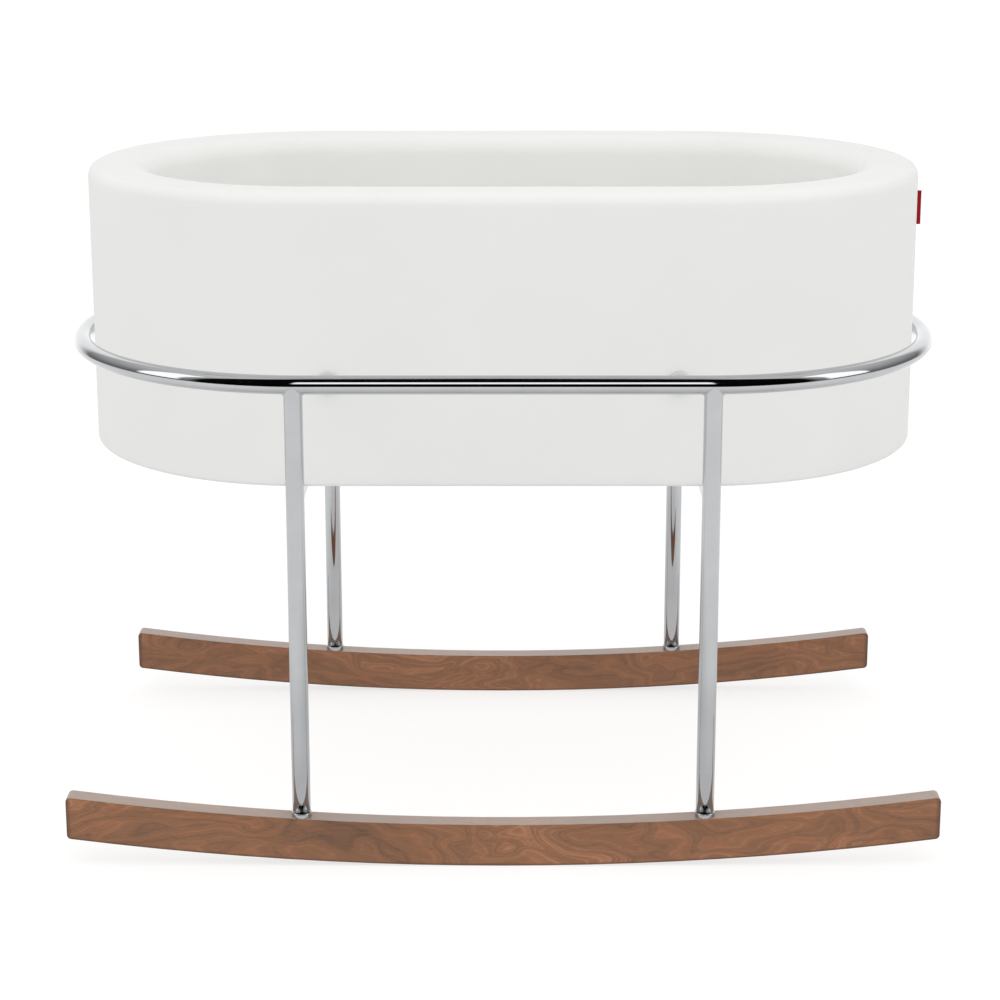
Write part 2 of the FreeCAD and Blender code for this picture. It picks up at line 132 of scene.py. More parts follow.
# ---- Node graphs ------------------------------------------------------------------------------
class Graph:
    """A node tree whose nodes are added and linked in one call each."""

    def __init__(self, tree):
        self.tree = tree

    def add(self, kind, settings=None, output=0, **inputs):
        node = self.tree.nodes.new("ShaderNode" + kind)
        for key, value in (settings or {}).items():
            setattr(node, key, value)
        for key, value in inputs.items():
            socket = node.inputs[int(key[1:])] if key[0] == "i" and key[1:].isdigit() else node.inputs[key]
            if isinstance(value, bpy.types.NodeSocket):
                self.tree.links.new(value, socket)
            else:
                socket.default_value = value
        return node.outputs[output]

    def math(self, operation, a, b=0.0, c=0.0):
        return self.add("Math", {"operation": operation}, i0=a, i1=b, i2=c)

    def place(self, scale=(1, 1, 1), source="Object"):
        """Coordinates in metres, times scale, in the object's own frame or from its weave map."""
        if source == "UV":
            base = self.add("UVMap", {"uv_map": "weave"})
        else:
            base = self.tree.nodes.new("ShaderNodeTexCoord").outputs[source]
        return self.add("Mapping", Vector=base, Scale=scale)

    def noise(self, where, scale, detail=3.0, roughness=0.5, distortion=0.0, output=0):
        return self.add(
            "TexNoise",
            output=output,
            Vector=where,
            Scale=scale,
            Detail=detail,
            Roughness=roughness,
            Distortion=distortion,
        )

    def ramp(self, factor, *stops):
        node = self.tree.nodes.new("ShaderNodeValToRGB")
        self.tree.links.new(factor, node.inputs[0])
        elements = node.color_ramp.elements
        while len(elements) < len(stops):
            elements.new(0.5)
        for element, (position, colour) in zip(elements, stops):
            element.position = position
            element.color = (*colour, 1)
        return node.outputs[0]

    def span(self, value, low, high, to_low=0.0, to_high=1.0, smooth=False):
        kind = "SMOOTHSTEP" if smooth else "LINEAR"
        settings = {"interpolation_type": kind, "clamp": True}
        return self.add("MapRange", settings, i0=value, i1=low, i2=high, i3=to_low, i4=to_high)

    def blend(self, factor, a, b, mode="MIX"):
        node = self.tree.nodes.new("ShaderNodeMix")
        node.data_type = "RGBA"
        node.blend_type = mode
        for socket, value in ((node.inputs[0], factor), (node.inputs[6], a), (node.inputs[7], b)):
            if isinstance(value, bpy.types.NodeSocket):
                self.tree.links.new(value, socket)
            elif isinstance(value, (int, float)):
                socket.default_value = value
            else:
                socket.default_value = (*value, 1)
        return node.outputs[2]

    def split(self, vector):
        node = self.tree.nodes.new("ShaderNodeSeparateXYZ")
        self.tree.links.new(vector, node.inputs[0])
        return node.outputs



class Finish(Graph):
    """A material's node tree round one Principled shader."""

    def __init__(self, name, **shader):
        self.material = bpy.data.materials.new(name)
        self.material.use_nodes = True
        super().__init__(self.material.node_tree)
        self.shader = self.tree.nodes["Principled BSDF"]
        for key, value in shader.items():
            self.shader.inputs[key.replace("_", " ")].default_value = value

    def finish(self, colour=None, roughness=None, height=None, strength=0.3, distance=0.2 * MM):
        for key, value in (("Base Color", colour), ("Roughness", roughness)):
            if value is not None:
                self.tree.links.new(value, self.shader.inputs[key])
        if height is not None:
            bump = self.add("Bump", Strength=strength, Distance=distance, Height=height)
            self.tree.links.new(bump, self.shader.inputs["Normal"])
        return self.material


# ---- Materials --------------------------------------------------------------------------------
def chrome():
    """Polished plating: almost clean, with faint wipe marks and an even fainter ripple."""
    g = Finish("chrome_plate", Metallic=1.0)
    where = g.place()
    haze = g.noise(where, 23.0, 4.0, 0.6)
    wipes = g.noise(g.place((90, 90, 14)), 9.0, 3.0, 0.7)
    colour = g.ramp(haze, (0.25, (0.485, 0.492, 0.505)), (0.75, (0.545, 0.55, 0.56)))
    roughness = g.span(g.math("MULTIPLY", haze, wipes), 0.12, 0.45, 0.025, 0.075)
    ripple = g.noise(where, 160.0, 1.0)
    return g.finish(colour, roughness, ripple, 0.04, 0.02 * MM)


def walnut():
    """Oiled walnut: swirling figure, pale lines, dark patches, pores, painted shade along the bottom edge and
    the ends, and a painted reflection that pales the top.
    """
    g = Finish("walnut_oiled", Specular_IOR_Level=0.3, Coat_Weight=0.55, Coat_Roughness=0.28)
    where = g.place((7, 14, 17))
    half = (0.5, 0.5, 0.5)
    drift = g.noise(where, 0.8, 2.0, 0.45, output=1)
    pushed = g.add("VectorMath", {"operation": "SUBTRACT"}, i0=drift, i1=half)
    swirled = g.add("VectorMath", {"operation": "MULTIPLY_ADD"}, i0=pushed, i1=(2.6, 2.2, 2.6), i2=where)
    field = g.noise(swirled, 1.0, 2.0, 0.4)
    along, across, up = g.split(g.place())
    slope = g.math("MULTIPLY_ADD", along, 3.2, g.math("MULTIPLY", g.math("ADD", up, across), 24.0))
    phase = g.math("MULTIPLY_ADD", field, 9.0, slope)
    bands = g.math("SINE", g.math("MULTIPLY", phase, 2 * math.pi))
    finer = g.math("SINE", g.math("MULTIPLY", phase, 6.6 * math.pi))
    grain = g.add("VectorMath", {"operation": "MULTIPLY"}, i0=swirled, i1=(3.2, 22.0, 26.0))
    streaks = g.noise(grain, 1.0, 4.0, 0.6)
    patches = g.noise(swirled, 0.55, 3.0, 0.55)
    pores = g.noise(g.place((120, 1500, 1900)), 1.0, 2.0, 0.6)
    figure = g.math("MULTIPLY_ADD", bands, 0.11, g.math("MULTIPLY_ADD", finer, 0.05, 0.5))
    figure = g.math("MULTIPLY_ADD", g.math("SUBTRACT", streaks, 0.5), 0.45, figure)
    figure = g.math("MULTIPLY_ADD", g.math("SUBTRACT", patches, 0.5), 0.95, figure)
    colour = g.ramp(
        figure,
        (0.08, (0.128, 0.058, 0.027)),
        (0.36, (0.218, 0.095, 0.041)),
        (0.60, (0.285, 0.116, 0.048)),
        (0.92, (0.440, 0.195, 0.096)),
    )
    lines = g.math("MULTIPLY", g.span(finer, 0.90, 0.995), g.span(patches, 0.46, 0.60))
    colour = g.blend(g.math("MULTIPLY", lines, 0.42), colour, (0.470, 0.250, 0.150))
    pore_mask = g.span(pores, 0.33, 0.43, 0.76, 1.0)
    colour = g.blend(1.0, colour, g.add("CombineColor", i0=pore_mask, i1=pore_mask, i2=pore_mask), "MULTIPLY")
    # Painted shade: the colour darkens towards the bottom edge and towards the ends.
    rise = g.math("SUBTRACT", up, ROCKER_RADIUS)
    swing = g.math("SQRT", g.math("MULTIPLY_ADD", along, along, g.math("MULTIPLY", rise, rise)))
    underside = g.span(swing, ROCKER_RADIUS - 3.2 * MM, ROCKER_RADIUS - 0.8 * MM, 0.0, 0.70, True)
    tip = g.span(
        g.math("ABSOLUTE", along),
        ROCKER_HALF_LENGTH - 5.5 * MM,
        ROCKER_HALF_LENGTH - 1.0 * MM,
        0.0,
        0.75,
    )
    colour = g.blend(g.math("MAXIMUM", underside, tip), colour, (0.085, 0.034, 0.016))
    # Painted reflection: faces that point up are paled towards grey, standing in for the white studio
    # glancing off the lacquer.
    facing_up = g.split(g.tree.nodes.new("ShaderNodeTexCoord").outputs["Normal"])[2]
    colour = g.blend(g.span(facing_up, 0.70, 0.97, 0.0, 0.62), colour, (0.36, 0.315, 0.285))
    roughness = g.span(streaks, 0.3, 0.7, 0.38, 0.52)
    height = g.math("MULTIPLY_ADD", pore_mask, 0.6, g.math("MULTIPLY", streaks, 0.5))
    return g.finish(colour, roughness, height, 0.25, 0.12 * MM)


def knit(name, light, dark, pitch, strength):
    """A fine jersey: interlocked loops in columns, with a little fuzz."""
    g = Finish(name, Roughness=0.92, Sheen_Weight=0.18, Sheen_Roughness=0.45, Specular_IOR_Level=0.25)
    u, v, _ = g.split(g.place((1, 1, 1), "UV"))
    course = g.math("SINE", g.math("MULTIPLY", v, 2 * math.pi / (0.8 * pitch)))
    column = g.math("MULTIPLY_ADD", course, 0.55, g.math("MULTIPLY", u, 2 * math.pi / pitch))
    loops = g.math("ABSOLUTE", g.math("SINE", column))
    where = g.place()
    fuzz = g.noise(where, 2600.0, 2.0, 0.7)
    cloudy = g.noise(where, 7.0, 3.0, 0.5)
    shade = g.math(
        "MULTIPLY_ADD",
        loops,
        0.18,
        g.math("MULTIPLY_ADD", fuzz, 0.3, g.math("MULTIPLY", cloudy, 0.5)),
    )
    colour = g.ramp(shade, (0.2, dark), (0.75, light))
    height = g.math("MULTIPLY_ADD", fuzz, 0.5, loops)
    return g.finish(colour, None, height, strength, 0.25 * MM)


def woven(name, light, dark, pitch, strength=0.35, stripe=None):
    """A plain weave of crossed threads. stripe adds a coloured warp stripe: (colour, spacing)."""
    g = Finish(name, Roughness=0.85, Sheen_Weight=0.12, Sheen_Roughness=0.5, Specular_IOR_Level=0.3)
    along, across, up = g.split(g.place())
    turn = 2 * math.pi / pitch
    warp = g.math("SINE", g.math("MULTIPLY", along, turn))
    weft = g.math("SINE", g.math("MULTIPLY", g.math("ADD", across, up), turn))
    weave = g.math("MULTIPLY_ADD", g.math("MULTIPLY", warp, weft), 0.5, 0.5)
    slub = g.noise(g.place((60, 900, 900)), 1.0, 3.0, 0.6)
    shade = g.math("MULTIPLY_ADD", weave, 0.35, g.math("MULTIPLY", slub, 0.65))
    colour = g.ramp(shade, (0.2, dark), (0.7, light))
    if stripe:
        tint, spacing = stripe
        lines = g.math("SINE", g.math("MULTIPLY", across, 2 * math.pi / spacing))
        colour = g.blend(g.span(lines, 0.86, 0.93), colour, tint)
    height = g.math("MULTIPLY_ADD", slub, 0.4, weave)
    return g.finish(colour, None, height, strength, 0.15 * MM)


def label_cloth():
    """A dense red damask label, with a satin twill."""
    g = Finish("label_damask", Roughness=0.8, Sheen_Weight=0.04, Specular_IOR_Level=0.15)
    u, v, _ = g.split(g.place((1, 1, 1), "UV"))
    twill = g.math("SINE", g.math("MULTIPLY", g.math("ADD", u, v), 2 * math.pi / (0.5 * MM)))
    threads = g.noise(g.place((500, 500, 2600)), 1.0, 3.0, 0.6)
    shade = g.math("MULTIPLY_ADD", twill, 0.12, threads)
    colour = g.ramp(shade, (0.25, (0.20, 0.003, 0.007)), (0.75, (0.36, 0.008, 0.015)))
    return g.finish(colour, None, shade, 0.4, 0.12 * MM)


def rubber(name, light, dark, shine):
    g = Finish(name, Specular_IOR_Level=0.4)
    where = g.place()
    speck = g.noise(where, 900.0, 3.0, 0.65)
    dust = g.noise(where, 45.0, 3.0, 0.6)
    colour = g.ramp(
        g.math("MULTIPLY_ADD", speck, 0.5, g.math("MULTIPLY", dust, 0.5)), (0.3, dark), (0.8, light)
    )
    return g.finish(colour, g.span(dust, 0.3, 0.7, shine, shine + 0.18), speck, 0.25, 0.1 * MM)


def steel(name, tone, brushed):
    """Zinc-plated or plain steel, with turning marks and a cloudy passivated film."""
    g = Finish(name, Metallic=1.0)
    marks = g.noise(g.place((700, 700, 90)), 1.0, 3.0, 0.65)
    film = g.noise(g.place(), 120.0, 3.0, 0.6)
    lighter = tuple(min(1.0, c * 1.22) for c in tone)
    colour = g.ramp(film, (0.3, tone), (0.7, lighter))
    return g.finish(colour, g.span(marks, 0.3, 0.7, brushed, brushed + 0.16), marks, 0.15, 0.05 * MM)


def plywood():
    """Birch plywood: pale rotary-cut faces, with the plies showing on the edges."""
    g = Finish("birch_ply", Specular_IOR_Level=0.3)
    where = g.place()
    flow = g.noise(g.place((6, 48, 12)), 1.0, 4.0, 0.6, 0.8)
    flecks = g.noise(g.place((90, 900, 900)), 1.0, 2.0, 0.6)
    face = g.math("MULTIPLY_ADD", flecks, 0.3, g.math("MULTIPLY", flow, 0.7))
    face_colour = g.ramp(face, (0.3, (0.56, 0.40, 0.25)), (0.72, (0.74, 0.59, 0.41)))
    height_in_stack = g.split(where)[2]
    plies = g.math("SINE", g.math("MULTIPLY", height_in_stack, 2 * math.pi / (2.6 * MM)))
    edge_colour = g.ramp(g.span(plies, -0.25, 0.25), (0.0, (0.36, 0.23, 0.13)), (1.0, (0.66, 0.50, 0.33)))
    normal_z = g.split(g.tree.nodes.new("ShaderNodeTexCoord").outputs["Normal"])[2]
    flat = g.span(g.math("ABSOLUTE", normal_z), 0.4, 0.7)
    colour = g.blend(flat, edge_colour, face_colour)
    return g.finish(colour, g.span(flow, 0.3, 0.7, 0.55, 0.72), flecks, 0.2, 0.15 * MM)


def foam(name, light, dark):
    g = Finish(name, Roughness=0.95, Specular_IOR_Level=0.15)
    where = g.place()
    cells = g.add("TexVoronoi", Vector=where, Scale=700.0)
    tone = g.noise(where, 30.0, 3.0, 0.6)
    colour = g.ramp(
        g.math("MULTIPLY_ADD", cells, 0.6, g.math("MULTIPLY", tone, 0.5)), (0.2, dark), (0.8, light)
    )
    return g.finish(colour, None, cells, 0.6, 0.4 * MM)


def felt():
    g = Finish("liner_felt_grey", Roughness=0.97, Sheen_Weight=0.3, Specular_IOR_Level=0.15)
    where = g.place()
    fibres = g.noise(where, 1300.0, 4.0, 0.75, 1.2)
    mottle = g.noise(where, 60.0, 3.0, 0.6)
    shade = g.math("MULTIPLY_ADD", fibres, 0.6, g.math("MULTIPLY", mottle, 0.4))
    colour = g.ramp(shade, (0.3, (0.50, 0.50, 0.49)), (0.7, (0.66, 0.66, 0.65)))
    return g.finish(colour, None, fibres, 0.6, 0.3 * MM)


def ribbed(name, light, dark, pitch):
    """A narrow woven band with ribs across it, for elastic and zip tape."""
    g = Finish(name, Roughness=0.8, Specular_IOR_Level=0.3)
    along, across, _ = g.split(g.place())
    around = g.math("ARCTAN2", across, along)
    ribs = g.math("SINE", g.math("MULTIPLY", around, 0.3 * 2 * math.pi / pitch))
    threads = g.noise(g.place(), 1800.0, 2.0, 0.6)
    shade = g.math("MULTIPLY_ADD", ribs, 0.25, threads)
    return g.finish(g.ramp(shade, (0.2, dark), (0.8, light)), None, shade, 0.4, 0.15 * MM)


def floor_paint():
    """White floor, lit to almost full white.

    Mirrors see it greyer close by, a painted shadow round the object, and cloth gets the same light from all
    of it.
    """
    g = Finish("studio_floor", Roughness=0.95, Specular_IOR_Level=0.05, Emission_Color=(1, 1, 1, 1))
    where = g.place()
    mottle = g.noise(where, 1.5, 2.0, 0.5)
    g.finish(g.ramp(mottle, (0.3, (FLOOR_TONE,) * 3), (0.7, (FLOOR_TONE + 0.01,) * 3)))
    g.shader.inputs["Emission Strength"].default_value = FLOOR_GLOW
    # Painted shadow for mirrors: glossy rays see the glow dimmer close to the object.
    distance = g.add("VectorMath", {"operation": "LENGTH"}, output=1, i0=where)
    seen_in_chrome = g.add(
        "Emission", Color=(1, 1, 1, 1), Strength=g.span(distance, 0.36, 1.05, 0.78, 1.04, True)
    )
    bounced = g.add("Emission", Color=(1, 1, 1, 1), Strength=FLOOR_BOUNCE)
    rays = g.tree.nodes.new("ShaderNodeLightPath").outputs
    mirrored = g.math("MULTIPLY", rays["Is Glossy Ray"], g.math("LESS_THAN", rays["Diffuse Depth"], 0.5))
    lit = g.add("MixShader", i0=rays["Is Diffuse Ray"], i1=g.shader.outputs[0], i2=bounced)
    mixed = g.add("MixShader", i0=mirrored, i1=lit, i2=seen_in_chrome)
    g.tree.links.new(mixed, g.tree.nodes["Material Output"].inputs[0])
    return g.material


MATERIALS = {
    "chrome_tube": chrome(),
    "ring_pad_rubber": rubber("pad_silicone", (0.640, 0.640, 0.640), (0.480, 0.480, 0.485), 0.40),
    "saddle_rubber": rubber("saddle_rubber_grey", (0.095, 0.095, 0.100), (0.045, 0.045, 0.048), 0.55),
    "walnut": walnut(),
    "insert_steel": steel("insert_turned", (0.44, 0.43, 0.41), 0.30),
    "fastener_steel": steel("fastener_zinc", (0.56, 0.57, 0.60), 0.22),
    "birch_plywood": plywood(),
    "wall_foam": foam("wall_foam_grey", (0.80, 0.79, 0.74), (0.58, 0.57, 0.52)),
    "cover_knit": knit("cover_jersey", (0.800, 0.800, 0.784), (0.740, 0.740, 0.725), 1.1 * MM, 0.16),
    "elastic": ribbed("elastic_band", (0.80, 0.80, 0.79), (0.58, 0.58, 0.58), 1.0 * MM),
    "liner_felt": felt(),
    "tag_fabric": label_cloth(),
    "mattress_foam": foam("mattress_foam_cream", (0.82, 0.77, 0.60), (0.62, 0.56, 0.40)),
    "ticking": woven("ticking_stripe", (0.80, 0.79, 0.76), (0.66, 0.65, 0.62), 0.8 * MM, 0.4,
                     ((0.34, 0.40, 0.50), 18 * MM)),
    "zip_tape": ribbed("zip_tape_grey", (0.55, 0.55, 0.56), (0.36, 0.36, 0.37), 0.9 * MM),
    "sheet_cotton": woven("sheet_percale", (0.84, 0.835, 0.82), (0.76, 0.755, 0.74), 0.7 * MM),
}


# ---- Meshes -----------------------------------------------------------------------------------
def piece(name, points, faces, slot, body, replaced=(), uv=None, material=None):
    """A shown piece: a smooth-shaded mesh that rides on a body."""
    mesh = bpy.data.meshes.new(name)
    mesh.from_pydata([tuple(p) for p in points], [], faces)
    mesh.polygons.foreach_set("use_smooth", [True] * len(mesh.polygons))
    if uv is not None:
        layer = mesh.uv_layers.new(name="weave")
        layer.data.foreach_set("uv", np.asarray(uv, np.float32).ravel())
    mesh.validate()
    mesh.update()
    mesh.materials.append(material or MATERIALS[slot])
    made = bpy.data.objects.new(name, mesh)
    bpy.context.scene.collection.objects.link(made)
    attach(made, body)
    if replaced:
        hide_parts(*replaced)
    return made


def casts_no_shade(made):
    """The studio's light is so soft that a thin tube throws no shadow on the cloth behind it."""
    made.visible_shadow = False
    made.visible_diffuse = False


def close_up(made):
    """Joins points that lie together and turns the faces of a closed mesh outwards."""
    bm = bmesh.new()
    bm.from_mesh(made.data)
    bmesh.ops.remove_doubles(bm, verts=bm.verts, dist=0.002 * MM)
    bmesh.ops.dissolve_degenerate(bm, dist=0.001 * MM, edges=bm.edges)
    bmesh.ops.recalc_face_normals(bm, faces=bm.faces)
    bm.to_mesh(made.data)
    bm.free()


def lattice(points, close_rows, close_columns, flip=False):
    """Faces and weave coordinates for a grid of points, rows by columns, that may close on itself."""
    rows, columns = points.shape[:2]
    last_row = rows if close_rows else rows - 1
    last_column = columns if close_columns else columns - 1
    across = np.concatenate([points, points[:1]]) if close_rows else points
    along = np.concatenate([points, points[:, :1]], axis=1) if close_columns else points
    u = np.concatenate([[0], np.cumsum(np.linalg.norm(np.diff(across[:, 0], axis=0), axis=1))])
    v = np.concatenate([[0], np.cumsum(np.linalg.norm(np.diff(along[0], axis=0), axis=1))])
    faces, uv = [], []
    for r in range(last_row):
        for c in range(last_column):
            corners = [(r, c), (r + 1, c), (r + 1, c + 1), (r, c + 1)]
            if flip:
                corners.reverse()
            faces.append([(i % rows) * columns + j % columns for i, j in corners])
            uv += [(u[i], v[j]) for i, j in corners]
    return faces, uv


def grid_piece(name, points, slot, body, replaced=(), close_rows=True, close_columns=True, flip=False):
    faces, uv = lattice(points, close_rows, close_columns, flip)
    return piece(name, points.reshape(-1, 3), faces, slot, body, replaced, uv)


def rail(straights, bends, extra=()):
    """Steps round the oval, anticlockwise from the front left: a centre on the X axis and a direction out."""
    steps = []
    for side in (1, -1):
        for k in range(straights):
            steps.append((side * STRAIGHT * (2 * k / straights - 1), 0.0, -side))
        turns = {90.0 * (2 * k / bends - 1) for k in range(bends)} | {t for e in extra for t in (e, -e)}
        for turn in sorted(turns):
            a = math.radians(turn)
            steps.append((side * STRAIGHT, side * math.cos(a), side * math.sin(a)))
    return np.array(steps)


def round_oval(steps, profile):
    """Sweeps a profile of (half depth, height) round the oval. It may have one profile for each step."""
    profile = np.asarray(profile, float)
    if profile.ndim == 2:
        profile = np.repeat(profile[None], len(steps), axis=0)
    out = profile[..., 0]
    x = steps[:, None, 0] + steps[:, None, 1] * out
    y = steps[:, None, 2] * out
    return np.stack([x, y, profile[..., 1]], axis=-1)


def arc(centre, radius, start, end, count):
    """Points on an arc in a section plane, angles in degrees."""
    turns = np.radians(np.linspace(start, end, count))
    return [(centre[0] + radius * math.cos(t), centre[1] + radius * math.sin(t)) for t in turns]


def run(start, end, count):
    """Points along a straight stretch, both ends left out."""
    return [
        tuple(np.array(start) + (np.array(end) - np.array(start)) * k / (count + 1))
        for k in range(1, count + 1)
    ]


# ---- Chromed frame ----------------------------------------------------------------------------
WELD_RADIUS = 3.0 * MM
ROUND = 64  # points round a tube


def ring_tube():
    steps = rail(24, 120)
    section = [(RING_DEPTH + RING_RADIUS * math.cos(t), RING_HEIGHT + RING_RADIUS * math.sin(t))
               for t in np.linspace(0, 2 * math.pi, ROUND, endpoint=False)]
    casts_no_shade(
        grid_piece("ring_tube", round_oval(steps, section), "chrome_tube", "frame", ["frame_ring"])
    )


def nearest_on_ring(point):
    """The nearest point on the ring's centre line."""
    x, y = point[0], point[1]
    if abs(x) <= STRAIGHT:
        return np.array([x, math.copysign(RING_DEPTH, y), RING_HEIGHT])
    centre = math.copysign(STRAIGHT, x)
    reach = math.hypot(x - centre, y)
    return np.array([centre + (x - centre) * RING_DEPTH / reach, y * RING_DEPTH / reach, RING_HEIGHT])


def fillet_points(centre, start, end, count=8):
    """Points on a rolled weld fillet, from one contact point to the other."""
    a = (start - centre) / WELD_RADIUS
    b = (end - centre) / WELD_RADIUS
    angle = math.acos(max(-1.0, min(1.0, float(a @ b))))
    shares = np.linspace(0, 1, count)
    return [centre + WELD_RADIUS * (a * math.sin((1 - s) * angle) + b * math.sin(s * angle)) / math.sin(angle)
            for s in shares]


def closed_tube(name, columns, tip, slot, replaced):
    """A tube from columns of points.

    The open first row gets a flat cap, and the last row closes to a hidden tip.
    """
    points = np.array(columns)
    rows, count = points.shape[:2]
    faces, _ = lattice(points, True, False)
    flat = list(points.reshape(-1, 3)) + [np.array(tip)]
    faces.append([r * count for r in range(rows)][::-1])
    for r in range(rows):
        faces.append([r * count + count - 1, ((r + 1) % rows) * count + count - 1, len(flat) - 1])
    made = piece(name, flat, faces, slot, "frame", replaced)
    close_up(made)
    return made


def rocker_top(x):
    return ROCKER_RADIUS - math.sqrt(ROCKER_TOP_RADIUS**2 - x**2)


def leg_tube(name, side, fr):
    """A leg from the rocker up to the ring, with the polished weld that runs out on to the ring."""
    x0, y0 = side * LEG_X, fr * LEG_Y
    columns = []
    for k in range(ROUND):
        turn = 2 * math.pi * k / ROUND
        out = np.array([math.cos(turn), math.sin(turn), 0.0])
        wall = np.array([x0, y0, 0.0]) + out * LEG_RADIUS
        ball = np.array([x0, y0, RING_HEIGHT]) + out * (LEG_RADIUS + WELD_RADIUS)
        offset = np.linalg.norm((ball - nearest_on_ring(ball))[:2])
        ball[2] = RING_HEIGHT - math.sqrt(max((RING_RADIUS + WELD_RADIUS) ** 2 - offset**2, 0.0))
        on_line = nearest_on_ring(ball)
        on_ring = on_line + (ball - on_line) * RING_RADIUS / (RING_RADIUS + WELD_RADIUS)
        foot = rocker_top(wall[0])
        upright = [np.array([wall[0], wall[1], z]) for z in np.linspace(foot, ball[2], 10)[:-1]]
        on_leg = np.array([wall[0], wall[1], ball[2]])
        columns.append(upright + fillet_points(ball, on_leg, on_ring))
    casts_no_shade(
        closed_tube("leg_tube_" + name, columns, (x0, y0, RING_HEIGHT), "chrome_tube", ["leg_" + name])
    )


def bar_tube(name, side):
    """A bar between a front leg and its rear leg.

    It is in two halves that meet in the middle, each with its weld.
    """
    x0 = side * LEG_X
    columns = []
    for k in range(ROUND):
        turn = 2 * math.pi * k / ROUND
        out = np.array([math.cos(turn), 0.0, math.sin(turn)])
        wall = np.array([x0, 0.0, BAR_HEIGHT]) + out * BAR_RADIUS
        ball = np.array([x0, 0.0, BAR_HEIGHT]) + out * (BAR_RADIUS + WELD_RADIUS)
        reach = LEG_Y - math.sqrt((LEG_RADIUS + WELD_RADIUS) ** 2 - (ball[0] - x0) ** 2)
        half = []
        for fr in (-1, 1):
            ball[1] = fr * reach
            axis = np.array([x0, fr * LEG_Y, ball[2]])
            on_leg = axis + (ball - axis) * LEG_RADIUS / (LEG_RADIUS + WELD_RADIUS)
            on_bar = np.array([wall[0], ball[1], wall[2]])
            half.append(fillet_points(ball.copy(), on_bar, on_leg))
        middle = [np.array([wall[0], y, wall[2]]) for y in np.linspace(-reach, reach, 12)[1:-1]]
        columns.append(half[0][::-1] + middle + half[1])
    points = np.array(columns)
    rows, count = points.shape[:2]
    faces, _ = lattice(points, True, False)
    flat = list(points.reshape(-1, 3))
    for fr, c in ((-1, 0), (1, count - 1)):
        flat.append(np.array([x0, fr * LEG_Y, BAR_HEIGHT]))
        for r in range(rows):
            faces.append([r * count + c, ((r + 1) % rows) * count + c, len(flat) - 1])
    made = piece("bar_tube_" + name, flat, faces, "chrome_tube", "frame", ["rest_bar_" + name])
    close_up(made)


def foot_collar(name, side, fr):
    """The flange at a leg's foot: a straight sleeve with a rounded shoulder, standing on the rocker."""
    x0, y0 = side * LEG_X, fr * LEG_Y
    outer, inner = LEG_RADIUS + COLLAR_WALL, LEG_RADIUS + 0.02 * MM
    shoulder, edge = COLLAR_WALL - 0.05 * MM, 0.3 * MM
    columns = []
    for turn in np.linspace(0, 2 * math.pi, ROUND, endpoint=False):
        foot = rocker_top(x0 + outer * math.cos(turn))
        section = [(inner, COLLAR_TOP)] + arc((outer - shoulder, COLLAR_TOP - shoulder), shoulder, 90, 0, 9)
        section += run((outer, COLLAR_TOP - shoulder), (outer, foot + edge), 3)
        section += arc((outer - edge, foot + edge), edge, 0, -90, 4) + [(inner, foot)]
        columns.append([(x0 + r * math.cos(turn), y0 + r * math.sin(turn), z) for r, z in section])
    made = grid_piece("collar_" + name, np.array(columns), "chrome_tube", "frame", ["foot_collar_" + name])
    close_up(made)


# ---- Rubber parts -----------------------------------------------------------------------------
def ring_pad(name, fr):
    """A round bumper with a soft lip, hollowed where it sits on the tube."""
    low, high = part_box("ring_pad_" + name)
    centre_x, centre_z = snap((low.x + high.x) / 2), RING_HEIGHT
    radius, lip = snap((high.z - low.z) / 2), 0.9 * MM
    near = min(abs(low.y), abs(high.y))
    far = near + 5.2 * MM
    section = [(radius * r, near + 0.15 * MM * r**2) for r in (0.0, 0.3, 0.6)]
    section += [(radius - lip + lip * math.sin(a), near + 0.15 * MM + lip * (1 - math.cos(a)))
                for a in np.radians(np.linspace(0, 90, 6))]
    section += [(radius - lip + lip * math.cos(a), far - lip + lip * math.sin(a))
                for a in np.radians(np.linspace(0, 90, 6))]
    section += [(radius * r, far) for r in (0.8, 0.65, 0.5, 0.3, 0.0)]
    columns = []
    for turn in np.linspace(0, 2 * math.pi, 48, endpoint=False):
        column = []
        for r, y in section:
            x, z = r * math.cos(turn), r * math.sin(turn)
            if abs(z) < RING_RADIUS:
                y = min(y, RING_DEPTH - math.sqrt(RING_RADIUS**2 - z**2) - 0.04 * MM)
            column.append((centre_x + x, fr * y, centre_z + z))
        columns.append(column)
    made = grid_piece("pad_" + name, np.array(columns), "ring_pad_rubber", "frame", ["ring_pad_" + name],
                      close_columns=False)
    close_up(made)


